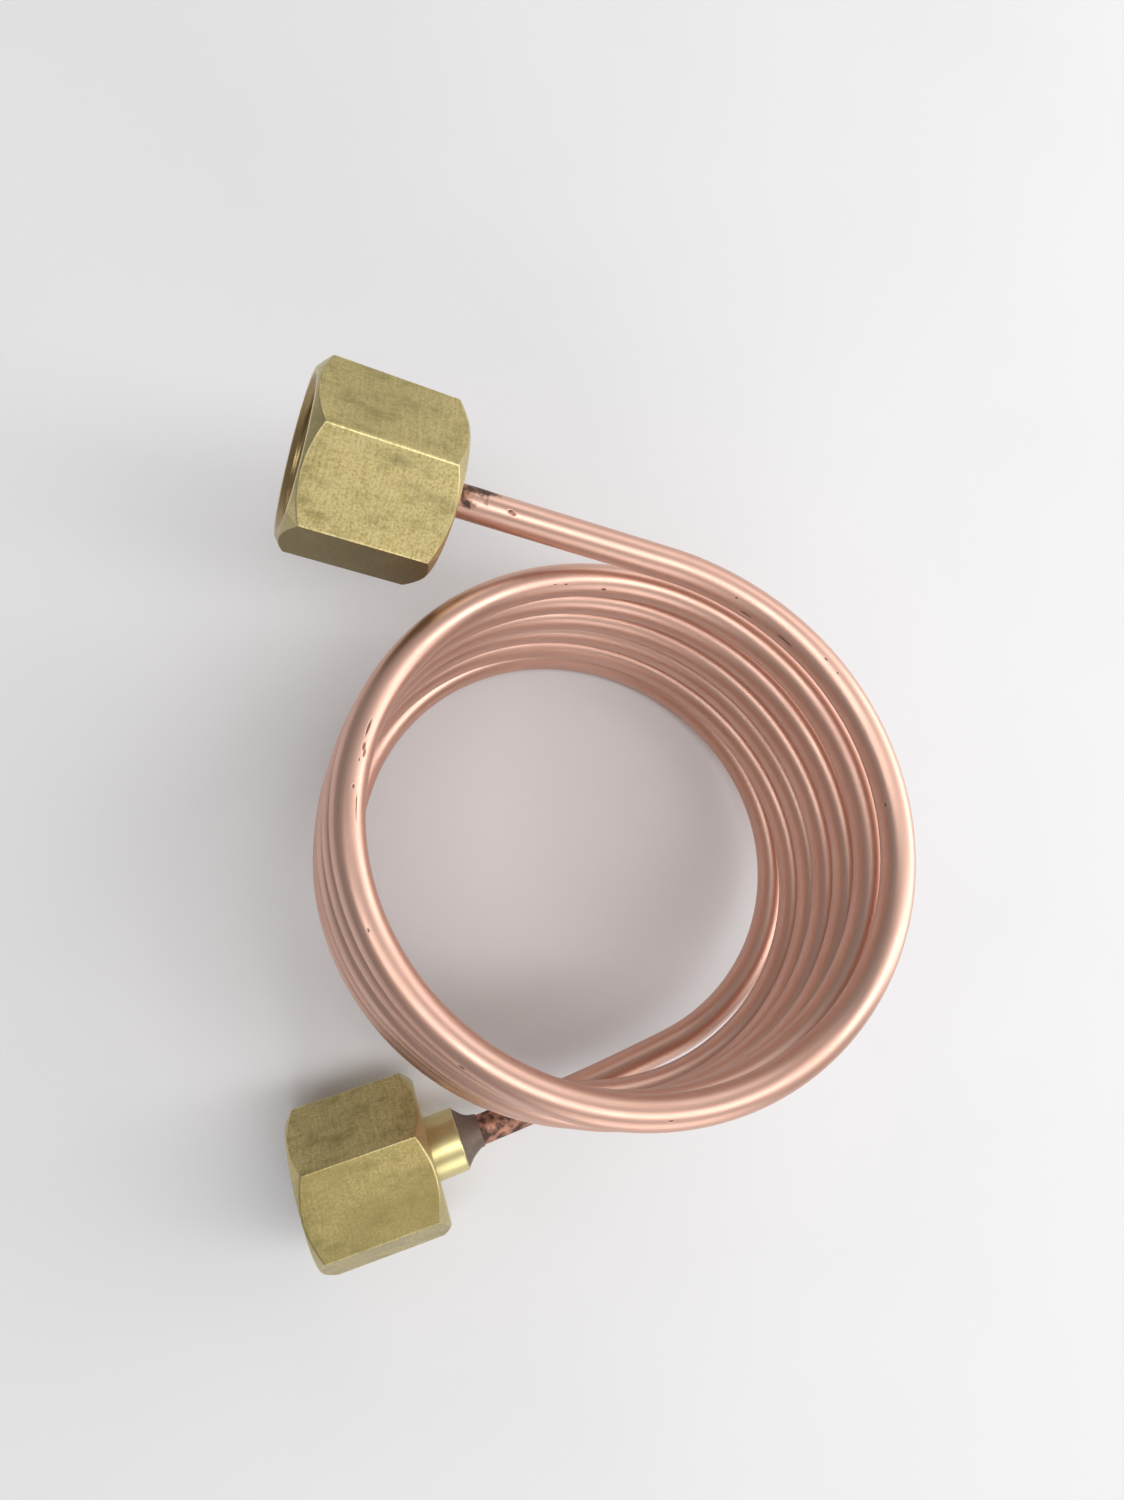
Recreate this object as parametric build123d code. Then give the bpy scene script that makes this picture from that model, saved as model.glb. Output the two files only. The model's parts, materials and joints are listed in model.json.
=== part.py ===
from build123d import *
from math import acos, atan, cos, pi, sin, sqrt, tan
import os

# Pressure gauge connection coil: one drawn copper tube wound into a loose
# helix, with a straight lead and a swivelling hexagon union nut at each end.
# Millimetres, Z up, standing as it rests on a level floor.

# Tube
TUBE_OD = 5.0
TUBE_WALL = 1.0

# Coil, seen from above: the turns go down clockwise from the upper lead
COIL_RADIUS = 39.0
TURN_PITCH = 6.7
START_AZIMUTH = 61.0
TURNS = 6.34
ARCS_PER_TURN = 8
LEAN_SAMPLES = 1000
TURN_STEP = 0.0005

# Wound by hand, so the turns are a little oval, don't lie in line and differ
# in size: how far each whole turn is off centre, and how much larger its
# radius is, from the start of the top one down
OVAL_SWELL = 1.25
OVAL_AZIMUTH = -28.0
TURN_SHAPES = [
    (0, 0, 0.8),
    (0.4, 0, -0.5),
    (-0.6, -1.2, 0.35),
    (-0.8, -1.4, 0.2),
    (-0.9, -1.9, 0.7),
    (-0.8, -2.2, 0.5),
    (0.2, 0.3, -1.7),
    (-1.0, 4.0, -0.7),
]

# Leads, measured from the point where the tube leaves the turns
UPPER_BEND_RADIUS = 47.0
UPPER_TURN_BACK_ANGLE = 17.8
UPPER_RISE_ANGLE = 2.0
UPPER_STRAIGHT = 39.8
LOWER_BEND_RADIUS = 421.0
LOWER_TURN_BACK_ANGLE = 4.3
LOWER_STRAIGHT = 2.0

# Tail that is brazed on each end of the tube: a collar that stands out of
# the back of the nut and a head that the nut pulls against
TAIL_COLLAR_OD = 10.4
TAIL_COLLAR_OUT = 5.4
TAIL_HEAD_LENGTH = 2.0
TAIL_EDGE = 0.4
BRAZE_GAP = 0.05
BRAZE_LENGTH = 3.5
BRAZE_TIP_WALL = 0.3
BRAZE_WAIST_SHARE = 0.35

# Union nut, M20 x 1.5, drawn with the full thread bore; the thread's depth in
# the nut is its pitch times the share that all ISO metric threads have
NUT_ACROSS_FLATS = 24.0
NUT_LENGTH = 21.0
NUT_WEB = 2.5
NUT_FACE_INSET = 0.3
NUT_CHAMFER_ANGLE = 30.0
THREAD_MAJOR = 20.0
THREAD_PITCH = 1.5
THREAD_DEPTH_SHARE = 0.5413
THREAD_LEAD_IN = 0.8
RELIEF_DEPTH = 0.4
RELIEF_LENGTH = 4.5
COLLAR_CLEARANCE = 0.3
HEAD_CLEARANCE = 0.1
THREAD_CLEARANCE = 0.19
SLIP_CLEARANCE = 0.2
DROOP_CLEARANCE = 0.2
UPPER_NUT_ANGLE = -13.0
UPPER_DROOP_AZIMUTH = -14.0
LOWER_SWING_ANGLE = 2.5

# Side of the coil that touches the floor when the lower nut props up the other
LEAN_AZIMUTH = 84.5


def turn_shape(turn):
    """Shift and swell of the winding at a turn number, on a smooth line through the whole turns'."""
    last = len(TURN_SHAPES) - 1
    above = min(int(turn), last - 1)
    beyond = [max(above - 1, 0), above, above + 1, min(above + 2, last)]
    before, start, end, after = [Vector(*TURN_SHAPES[number]) for number in beyond]
    part = turn - above
    leaving = (end - before) / 2
    arriving = (after - start) / 2
    eased = part**2 * (3 - 2 * part)
    ends = leaving * (part * (1 - part) ** 2) - arriving * (part**2 * (1 - part))
    return start + (end - start) * eased + ends


def coil_point(turn):
    """Centre of the tube at a turn number that counts down from the upper lead."""
    azimuth = (START_AZIMUTH - 360 * turn) * pi / 180
    oval = OVAL_SWELL * cos(2 * (azimuth - OVAL_AZIMUTH * pi / 180))
    shape = turn_shape(turn)
    reach = COIL_RADIUS + oval + shape.Z
    return Vector(shape.X + reach * cos(azimuth), shape.Y + reach * sin(azimuth), -TURN_PITCH * turn)


def coil_direction(turn):
    """Unit direction of the tube on its way down at a turn number."""
    return (coil_point(turn + TURN_STEP) - coil_point(turn - TURN_STEP)).normalized()


def upward(lean):
    """Upward direction of the floor, seen from a coil that leans by an angle."""
    tilt = lean * pi / 180
    side = LEAN_AZIMUTH * pi / 180
    return Vector(-sin(tilt) * cos(side), -sin(tilt) * sin(side), cos(tilt))


def arc_pair(start, start_direction, end, end_direction):
    """Two arcs that join two points and are tangent to both directions."""
    gap = end - start
    lean = 1 - start_direction.dot(end_direction)
    along = gap.dot(start_direction + end_direction)
    reach = (sqrt(along**2 + 2 * lean * gap.dot(gap)) - along) / (2 * lean)
    middle = (start + start_direction * reach + end - end_direction * reach) * 0.5
    first = Edge.make_tangent_arc(start, start_direction, middle)
    second = Edge.make_tangent_arc(middle, first % 1, end)
    return [first, second]


def lead_path(start, direction, turn_back, rise, bend_radius, straight):
    """Bend and straight run of a lead that leaves the turns, with its end and direction."""
    level = Vector(direction.X, direction.Y, 0).normalized().rotate(Axis.Z, turn_back)
    slope = rise * pi / 180
    final = Vector(level.X * cos(slope), level.Y * cos(slope), sin(slope))
    turn = acos(direction.dot(final))
    side = (final - direction * cos(turn)).normalized()
    bend_end = start + direction * (bend_radius * sin(turn)) + side * (bend_radius * (1 - cos(turn)))
    bend = Edge.make_tangent_arc(start, direction, bend_end)
    end = bend_end + final * straight
    return [bend, Edge.make_line(bend_end, end)], end, final


def upper_lead():
    """Lead that leaves the top turn and rises a little, with its end and direction."""
    start = coil_direction(0) * -1
    angles = (UPPER_TURN_BACK_ANGLE, UPPER_RISE_ANGLE)
    run = UPPER_STRAIGHT + tail_length()
    return lead_path(coil_point(0), start, *angles, UPPER_BEND_RADIUS, run)


def lower_lead(up):
    """Lead that leaves the bottom turn and runs level with the floor, with its end and direction."""
    start = coil_direction(TURNS)
    level = Vector(start.X, start.Y, 0).normalized().rotate(Axis.Z, -LOWER_TURN_BACK_ANGLE)
    rise = -atan(level.dot(up) / up.Z) * 180 / pi
    angles = (-LOWER_TURN_BACK_ANGLE, rise)
    run = LOWER_STRAIGHT + tail_length()
    return lead_path(coil_point(TURNS), start, *angles, LOWER_BEND_RADIUS, run)


def nut_clearance(lean):
    """Height of the lower nut's flat over the floor that the turns touch, at an angle of lean."""
    up = upward(lean)
    path, end, direction = lower_lead(up)
    turns = [coil_point(TURNS * step / LEAN_SAMPLES).dot(up) for step in range(LEAN_SAMPLES + 1)]
    return end.dot(up) - NUT_ACROSS_FLATS / 2 - (min(turns) - TUBE_OD / 2)


def resting_lean():
    """Angle at which the turns and the lower nut both touch the floor."""
    upright, steep = 0.0, 30.0
    while steep - upright > 0.001:
        lean = (upright + steep) / 2
        if nut_clearance(lean) < 0:
            upright = lean
        else:
            steep = lean
    return steep


def coil_path(up):
    """Whole centre line of the tube between its brazed ends, with both ends and directions."""
    steps = round(TURNS * ARCS_PER_TURN)
    numbers = [TURNS * step / steps for step in range(steps + 1)]
    turns = []
    for turn, following in zip(numbers, numbers[1:]):
        turns += arc_pair(
            coil_point(turn), coil_direction(turn), coil_point(following), coil_direction(following)
        )
    upper, upper_end, upper_out = upper_lead()
    lower, lower_end, lower_out = lower_lead(up)
    return upper + turns + lower, (upper_end, upper_out), (lower_end, lower_out)


def collar_length():
    """Collar from its brazed end to the head, through the web of the nut."""
    return TAIL_COLLAR_OUT + NUT_WEB + HEAD_CLEARANCE


def tail_length():
    """Whole tail, which the end of the tube fills."""
    return collar_length() + TAIL_HEAD_LENGTH


def head_diameter():
    """Head of the tail, which passes through the crests of the nut's thread."""
    crests = THREAD_MAJOR - 2 * THREAD_DEPTH_SHARE * THREAD_PITCH
    return crests - 2 * THREAD_CLEARANCE


def nut_hole():
    """Radius of the hole in the web, which runs over the collar."""
    return TAIL_COLLAR_OD / 2 + COLLAR_CLEARANCE


def upper_nut_slip():
    """How far the loose upper nut has dropped back, with its web just clear of the filler."""
    return TAIL_COLLAR_OUT + NUT_WEB + BRAZE_LENGTH + SLIP_CLEARANCE


def droop_pivot():
    """Height of the head's middle over the back of the upper nut that has dropped back."""
    return upper_nut_slip() - TAIL_COLLAR_OUT + tail_length() - TAIL_HEAD_LENGTH / 2


def nut_droop():
    """Angle at which the loose upper nut tips until its hole comes close to the bare tube."""
    play = nut_hole() - TUBE_OD / 2 - DROOP_CLEARANCE
    return atan(play / droop_pivot()) * 180 / pi


def lathe(outline):
    """Ring turned from a closed outline of (radius, height) points."""
    return revolve(Plane.XZ * make_face(Polyline(*outline, close=True)), Axis.Z)


def make_tube(path, end, direction):
    """Tube drawn along its whole centre line, open at both ends."""
    wall = Circle(TUBE_OD / 2) - Circle(TUBE_OD / 2 - TUBE_WALL)
    return sweep(Plane(origin=end, z_dir=direction) * wall, path=Wire(path))


def make_tail():
    """Brass tail, standing on the end that is brazed, with its head up."""
    bore = TUBE_OD / 2 + BRAZE_GAP
    collar = TAIL_COLLAR_OD / 2
    head = head_diameter() / 2
    shoulder = collar_length()
    top = tail_length()
    return lathe(
        [
            (bore, 0),
            (collar, 0),
            (collar, shoulder),
            (head - TAIL_EDGE, shoulder),
            (head, shoulder + TAIL_EDGE),
            (head, top - TAIL_EDGE),
            (head - TAIL_EDGE, top),
            (bore, top),
        ]
    )


def make_braze():
    """Filler that runs down in a hollow cone from the collar to the tube."""
    bore = TUBE_OD / 2 + BRAZE_GAP
    tip = TUBE_OD / 2 + BRAZE_TIP_WALL
    collar = TAIL_COLLAR_OD / 2
    waist = tip + (collar - tip) * BRAZE_WAIST_SHARE
    section = Polyline((tip, -BRAZE_LENGTH), (bore, -BRAZE_LENGTH), (bore, 0), (collar, 0))
    slope = ThreePointArc((collar, 0), (waist, -BRAZE_LENGTH / 2), (tip, -BRAZE_LENGTH))
    return revolve(Plane.XZ * make_face(section + slope), Axis.Z)


def make_nut():
    """Union nut with its web at the bottom and its threaded mouth at the top."""
    corner = NUT_ACROSS_FLATS / sqrt(3)
    face = NUT_ACROSS_FLATS / 2 - NUT_FACE_INSET
    drop = (corner - face) * tan(NUT_CHAMFER_ANGLE * pi / 180)
    blank = extrude(RegularPolygon(corner, 6), NUT_LENGTH)
    envelope = lathe(
        [
            (0, 0),
            (face, 0),
            (corner, drop),
            (corner, NUT_LENGTH - drop),
            (face, NUT_LENGTH),
            (0, NUT_LENGTH),
        ]
    )
    hole = nut_hole()
    thread = THREAD_MAJOR / 2
    relief = thread + RELIEF_DEPTH
    bore = lathe(
        [
            (0, 0),
            (hole, 0),
            (hole, NUT_WEB),
            (relief, NUT_WEB),
            (relief, NUT_WEB + RELIEF_LENGTH),
            (thread, NUT_WEB + RELIEF_LENGTH),
            (thread, NUT_LENGTH - THREAD_LEAD_IN),
            (thread + THREAD_LEAD_IN, NUT_LENGTH),
            (0, NUT_LENGTH),
        ]
    )
    return (blank & envelope) - bore


def fitting(name, end, direction, up, nut_place):
    """Tail, filler and nut of one end of the tube, by node name."""
    brazed_end = end - direction * tail_length()
    seat = Plane(origin=brazed_end, x_dir=direction.cross(up), z_dir=direction)
    return {
        name + "_tail": seat * make_tail(),
        name + "_braze": seat * make_braze(),
        name + "_nut": seat * nut_place * make_nut(),
    }


def loose_nut_place():
    """Place of the upper nut on its tail: dropped back, mouth tipped up about the head, and turned."""
    head = Pos(0, 0, tail_length() - TAIL_HEAD_LENGTH / 2)
    tipped = Rot(0, 0, UPPER_DROOP_AZIMUTH) * Rot(nut_droop(), 0, 0)
    return head * tipped * Pos(0, 0, -droop_pivot()) * Rot(0, 0, UPPER_NUT_ANGLE)


def swung_nut_place():
    """Place of the lower nut on its tail: swung aside about the head, and slid back as that needs."""
    head = tail_length() - TAIL_HEAD_LENGTH / 2
    slip = head_diameter() / 2 * sin(LOWER_SWING_ANGLE * pi / 180)
    return Pos(0, 0, head) * Rot(0, LOWER_SWING_ANGLE, 0) * Pos(0, 0, TAIL_COLLAR_OUT - slip - head)


def at_rest(nodes, lean):
    """All nodes leaning as they rest, over the middle of the floor they stand on."""
    hinge = Axis((0, 0, 0), Vector(1, 0, 0).rotate(Axis.Z, LEAN_AZIMUTH + 90))
    leaning = {name: shape.rotate(hinge, lean) for name, shape in nodes.items()}
    box = Compound(list(leaning.values())).bounding_box()
    shift = Pos(-box.center().X, -box.center().Y, -box.min.Z)
    return {name: shift * shape for name, shape in leaning.items()}


lean = resting_lean()
up = upward(lean)
path, upper, lower = coil_path(up)
nodes = {"copper_tube": make_tube(path, *upper)}
nodes.update(fitting("upper", *upper, up, loose_nut_place()))
nodes.update(fitting("lower", *lower, up, swung_nut_place()))

os.makedirs("parts", exist_ok=True)
for name, shape in at_rest(nodes, lean).items():
    export_step(shape, "parts/" + name + ".step")
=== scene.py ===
"""Copper connection coil for a pressure gauge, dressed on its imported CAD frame."""

import json
import math

import bpy
import numpy as np
from mathutils import Matrix, Vector


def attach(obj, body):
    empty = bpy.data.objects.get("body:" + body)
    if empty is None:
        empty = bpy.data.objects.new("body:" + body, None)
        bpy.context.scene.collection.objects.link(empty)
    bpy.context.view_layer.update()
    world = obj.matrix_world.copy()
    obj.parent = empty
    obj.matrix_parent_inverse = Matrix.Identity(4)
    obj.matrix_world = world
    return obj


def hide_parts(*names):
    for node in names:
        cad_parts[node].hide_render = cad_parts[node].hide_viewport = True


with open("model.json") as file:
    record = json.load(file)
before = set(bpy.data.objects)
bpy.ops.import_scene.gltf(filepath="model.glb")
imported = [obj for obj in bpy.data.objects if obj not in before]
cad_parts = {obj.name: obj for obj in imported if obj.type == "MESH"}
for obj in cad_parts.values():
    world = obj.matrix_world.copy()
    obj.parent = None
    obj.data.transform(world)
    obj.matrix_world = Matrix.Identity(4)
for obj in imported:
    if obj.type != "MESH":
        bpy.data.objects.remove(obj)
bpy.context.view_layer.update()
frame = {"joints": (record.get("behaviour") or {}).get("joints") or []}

# Sizes below are in millimetres, and this takes them to the scene's metres
MM = 0.001

# Camera of the photograph: a phone held over the coil, 12 degrees off straight down
CAMERA_PLACE = np.array((-34.74, 7.66, 187.23))
CAMERA_FORWARD = np.array((0.1976, 0.0625, -0.9783))
CAMERA_UP = np.array((-0.0468, 0.9974, 0.0543))
PICTURE_HEIGHT = 1500
FOCAL_PIXELS = 1040
SENSOR = 36.0

# Tube, in the frame of the coil before it leans, as the CAD winds it, and the lean at which it
# rests on the floor
TUBE_RADIUS = 2.5
BORE_RADIUS = 1.5
COIL_RADIUS = 39.0
TURN_PITCH = 6.7
START_AZIMUTH = math.radians(61)
TURNS = 6.34
OVAL_SWELL = 1.25
OVAL_AZIMUTH = math.radians(-28)
UPPER_LEAD = {"turn_back": math.radians(17.8), "bend": 47.0, "straight": 39.8}
UPPER_RISE = math.radians(2)
LOWER_LEAD = {"turn_back": math.radians(-4.3), "bend": 421.0, "straight": 2.0}
LEAN = math.radians(9.621)
LEAN_AZIMUTH = math.radians(84.5)

# How far each whole turn is off centre in x and y, and how much larger its radius is, from the top
TURN_SHAPES = np.array(
    [
        (0, 0, 0.8),
        (0.4, 0, -0.5),
        (-0.6, -1.2, 0.35),
        (-0.8, -1.4, 0.2),
        (-0.9, -1.9, 0.7),
        (-0.8, -2.2, 0.5),
        (0.2, 0.3, -1.7),
        (-1.0, 4.0, -0.7),
    ]
)

# Broken edges at the tube's ends: how far each ring of the outer one lies from the end and within
# the outside, and how far the inner one stands off the bore
RIM_DEPTHS = np.array((0.14, 0.04, 0.0))
RIM_INSETS = np.array((0.03, 0.1, 0.22))
BORE_EDGE = 0.12

# How far from an end the first rings of the outside lie, and where the even ones and the bore's start
END_RINGS = np.array((0.25, 0.5))
EVEN_FROM = 1.0
BORE_FROM = 0.3

# Bent tube is a shade out of round: how much, over what length that varies and on which side
OUT_OF_ROUND = 0.02
OUT_OF_ROUND_RUN = 30.0
OUT_OF_ROUND_SIDE = 1.2
OUT_OF_ROUND_SEED = 3

# Union nut, M20 x 1.5, its flats, faces and thread by their distance from its axis. The thread's
# depth is a share of its pitch by the standard, and the ridges drawn are a hair shallower. They
# are a clipped triangle wave that fades in over one part in so many of the thread's length.
FLAT = 12.0
FACE_INSET = 0.3
NUT_FACE = FLAT - FACE_INSET
NUT_LENGTH = 21.0
NUT_WEB = 2.5
CHAMFER = math.tan(math.radians(38))
NUT_CORNER = 0.35
CORNER_STEP = 0.12
NUT_ROUNDING = 0.2
THREAD = 10.0
THREAD_PITCH = 1.5
THREAD_DEPTH = 0.8
THREAD_DEPTH_SHARE = 0.5413
THREAD_LEAD_IN = 0.8
RIDGE_STEEPNESS = 1.35
RIDGE_GAP = 0.12
RIDGE_FADE = 9
THREAD_MOUTH = THREAD + THREAD_LEAD_IN
THREAD_START = NUT_LENGTH - THREAD_LEAD_IN
RELIEF_DEPTH = 0.4
RELIEF_LENGTH = 4.5
RELIEF = THREAD + RELIEF_DEPTH
RELIEF_END = NUT_WEB + RELIEF_LENGTH

# Clearances of the loose fits, as the CAD has them
COLLAR_CLEARANCE = 0.3
HEAD_CLEARANCE = 0.1
THREAD_CLEARANCE = 0.19
SLIP_CLEARANCE = 0.2
DROOP_CLEARANCE = 0.2

# Tail that is brazed on each end of the tube, and the nut's hole that runs over its collar
COLLAR_RADIUS = 5.2
COLLAR_OUT = 5.4
COLLAR_LENGTH = COLLAR_OUT + NUT_WEB + HEAD_CLEARANCE
HEAD_RADIUS = THREAD - THREAD_DEPTH_SHARE * THREAD_PITCH - THREAD_CLEARANCE
HEAD_LENGTH = 2.0
HEAD_EDGE = 0.4
TAIL_LENGTH = COLLAR_LENGTH + HEAD_LENGTH
TAIL_BORE = 2.55
TAIL_ROUNDING = 0.25
NUT_HOLE = COLLAR_RADIUS + COLLAR_CLEARANCE

# Filler: from just inside the collar's edge it sags by a power of its height to a thin tip round
# the tube, with low lumps and never thinner than a least radius
BRAZE_LENGTH = 3.5
BRAZE_TIP = TUBE_RADIUS + 0.3
BRAZE_FOOT = COLLAR_RADIUS - 0.15
BRAZE_SAG = 1.9
BRAZE_LUMPS = 0.12
LUMPS_ROUND = 3
LUMPS_ALONG = 4
BRAZE_THINNEST = 2.62
BRAZE_BORE = TAIL_BORE + 0.01
BRAZE_SEED = 5

# How each nut sits on its tail: turned aside, tipped and turned on its own axis. The upper one is
# loose and droops until its hole is close to the tube, and the lower one has swung on the floor.
# A pivot is the height of the head's middle over the back of the nut.
UPPER_PIVOT = NUT_WEB + BRAZE_LENGTH + SLIP_CLEARANCE + TAIL_LENGTH - HEAD_LENGTH / 2
UPPER_DROOP = math.atan((NUT_HOLE - TUBE_RADIUS - DROOP_CLEARANCE) / UPPER_PIVOT)
UPPER_SWING = (math.radians(-14), UPPER_DROOP, math.radians(-13))
UPPER_NUT_BACK = UPPER_PIVOT + HEAD_LENGTH / 2
LOWER_TIP = math.radians(2.5)
LOWER_PIVOT = NUT_WEB + HEAD_CLEARANCE + HEAD_LENGTH / 2 + HEAD_RADIUS * math.sin(LOWER_TIP)
LOWER_SWING = (math.radians(90), LOWER_TIP, math.radians(-90))

# How far each flat of a nut is worn back to bright brass, 0 to 1, counted from its first corner
UPPER_WEAR = (0.4, 0.6, 0.3, 0.0, 0.9, 0.3)
LOWER_WEAR = (0.5, 0.4, 0.6, 0.3, 0.15, 0.34)

# Nicks, specks and scratches on the tube: distance from its upper end, angle in degrees round it
# from the side that faces along the coil's axis, and half the mark's length and width
TUBE_MARKS = [
    (242.0, 16, 1.6, 0.20),
    (239.2, 21, 0.7, 0.28),
    (238.2, 29, 0.8, 0.22),
    (237.2, 17, 0.4, 0.16),
    (233.4, 12, 0.4, 0.22),
    (230.5, 27, 2.2, 0.10),
    (279.8, 31, 0.3, 0.13),
    (281.5, 35, 0.3, 0.16),
    (287.8, 55, 0.4, 0.22),
    (61.3, 41, 0.3, 0.2),
    (77.8, 9, 0.3, 0.18),
    (80.5, 9, 0.3, 0.2),
    (101.9, 54, 0.3, 0.15),
    (63.9, 76, 1.1, 0.18),
    (71.4, 66, 1.6, 0.18),
    (165.2, -18, 0.4, 0.2),
    (25.5, 12, 0.5, 0.35),
    (26.0, 17, 0.4, 0.3),
    (214.0, -12, 0.4, 0.16),
    (193.2, -60, 0.5, 0.2),
]

# Torch colour on the tube: how far it shows beyond the upper nut, over what length it fades, how
# much further it goes on one side than round the middle, which side that is, how much further it
# goes at the lower end, and by how much its edge wanders
HEAT_START = 2.0
HEAT_FADE = 2.0
HEAT_LOPSIDED = 3.25
HEAT_SIDE = (0.6, -0.8, 0)
LOWER_HEAT = 5.5
HEAT_WANDER = 2.5

# Fineness of the surfaces: how many points go along, round or across each form
TUBE_STATIONS = 1160
BORE_STATIONS = 320
TUBE_SIDES = 44
TURNED_SIDES = 96
BRAZE_RINGS = 26
CURVE_POINTS = 5
CORNER_POINTS = 7
FLAT_ROWS = 9
THREAD_ROWS = 106
WINDING_POINTS = 6001
BEND_POINTS = 200
STRAIGHT_POINTS = 100

# Soft panels of the room: name, place and target, width, length, and power in watts
LIGHTS = [
    ("skylight", (210, -60, 800), (0, -60, 0), 260, 1500, 5.2),
    ("window", (760, 130, 220), (0, 0, 20), 760, 380, 2.45),
    ("far_window", (560, 420, 420), (0, 0, 20), 500, 500, 0.9),
    ("back_wall", (200, 760, 400), (0, 0, 20), 600, 500, 1.3),
    ("near_wall", (200, -760, 350), (0, 0, 20), 600, 500, 1.9),
]

# Glow of the room on the part, and what is added to it where the camera sees the room itself
ROOM_GLOW = 0.28
SEEN_GLOW = 0.55

# Half the side of the square floor
FLOOR_HALF = 2000.0


def unit(vectors):
    """Each vector divided by its own length."""
    return vectors / np.linalg.norm(vectors, axis=-1, keepdims=True)


def closed_surface(name, points, **values):
    """Mesh through a grid of points that joins itself round both ways, like a ring.

    Every grid cell is one quad, and the winding is turned over if the enclosed volume comes out
    negative, so the faces point outwards. Each extra array becomes an attribute of the points.
    """
    rows, columns = points.shape[:2]
    row, column = np.meshgrid(np.arange(rows), np.arange(columns), indexing="ij")
    next_row, next_column = (row + 1) % rows, (column + 1) % columns
    quads = np.stack(
        (
            row * columns + column,
            row * columns + next_column,
            next_row * columns + next_column,
            next_row * columns + column,
        ),
        axis=-1,
    ).reshape(-1, 4)
    flat = points.reshape(-1, 3)
    a, b, c, d = (flat[quads[:, corner]] for corner in range(4))
    if np.sum(a * np.cross(b, c) + a * np.cross(c, d)) < 0:
        quads = quads[:, ::-1]
    mesh = bpy.data.meshes.new(name)
    mesh.vertices.add(len(flat))
    mesh.vertices.foreach_set("co", (flat * MM).astype(np.float32).ravel())
    mesh.loops.add(quads.size)
    mesh.loops.foreach_set("vertex_index", quads.ravel().astype(np.int32))
    mesh.polygons.add(len(quads))
    mesh.polygons.foreach_set("loop_start", np.arange(0, quads.size, 4, dtype=np.int32))
    mesh.polygons.foreach_set("use_smooth", np.ones(len(quads), dtype=bool))
    mesh.update(calc_edges=True)
    for label, numbers in values.items():
        vector = numbers.ndim == 3
        layer = mesh.attributes.new(label, "FLOAT_VECTOR" if vector else "FLOAT", "POINT")
        layer.data.foreach_set("vector" if vector else "value", numbers.astype(np.float32).ravel())
    piece = bpy.data.objects.new(name, mesh)
    bpy.context.scene.collection.objects.link(piece)
    return piece


def rounded(corners, setback):
    """Closed outline with each corner replaced by a curve that is tangent to both sides.

    The curve is the parabola from a point a setback before the corner to one as far after it,
    pulled to the corner, and a point more on each side holds the flat beside it. The setback is
    never more than a share of the shorter side.
    """
    largest_share = 0.3
    hold = 1.6
    before = np.roll(corners, 1, axis=0) - corners
    after = np.roll(corners, -1, axis=0) - corners
    room_before = np.linalg.norm(before, axis=-1, keepdims=True)
    room_after = np.linalg.norm(after, axis=-1, keepdims=True)
    reach = np.minimum(setback, largest_share * np.minimum(room_before, room_after))
    inward = before / room_before * reach
    onward = after / room_after * reach
    steps = [corners + inward * hold]
    for part in np.linspace(0, 1, CURVE_POINTS):
        steps.append(corners + inward * (1 - part) ** 2 + onward * part**2)
    steps.append(corners + onward * hold)
    return np.stack(steps, axis=1).reshape(-1, *corners.shape[1:])


def smooth_noise(values, seed, waves=9):
    """Sum of sines with random lengths and phases, from about -1 to 1."""
    chance = np.random.default_rng(seed)
    total = np.zeros_like(values)
    for wave in range(1, waves + 1):
        stretch = chance.uniform(0.7, 1.3)
        phase = chance.uniform(0, math.tau)
        total += np.sin(values * wave * stretch + phase) / wave
    return total / 2


def turn_shapes(turns):
    """Centre and swell of the winding: a cubic through the whole turns, sloped by their neighbours."""
    last = len(TURN_SHAPES) - 1
    above = np.minimum(turns.astype(int), last - 1)
    before = TURN_SHAPES[np.maximum(above - 1, 0)]
    start = TURN_SHAPES[above]
    end = TURN_SHAPES[above + 1]
    after = TURN_SHAPES[np.minimum(above + 2, last)]
    part = (turns - above)[:, None]
    eased = part**2 * (3 - 2 * part)
    leaving = (end - before) / 2 * part * (1 - part) ** 2
    arriving = (after - start) / 2 * part**2 * (1 - part)
    return start + (end - start) * eased + leaving - arriving


def coil_points(turns):
    """Centre of the tube: a clockwise helix round a centre that drifts from turn to turn.

    Its radius is the coil's, plus the turn's own, plus a swell by the cosine of twice the azimuth,
    and it falls by the pitch in a turn.
    """
    azimuth = START_AZIMUTH - math.tau * turns
    shape = turn_shapes(turns)
    reach = COIL_RADIUS + OVAL_SWELL * np.cos(2 * (azimuth - OVAL_AZIMUTH)) + shape[:, 2]
    x = shape[:, 0] + reach * np.cos(azimuth)
    y = shape[:, 1] + reach * np.sin(azimuth)
    return np.stack((x, y, -TURN_PITCH * turns), axis=1)


def turned(vector, angle):
    """Vector turned about the vertical."""
    x, y, z = vector
    cosine, sine = math.cos(angle), math.sin(angle)
    return np.array((x * cosine - y * sine, x * sine + y * cosine, z))


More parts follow.
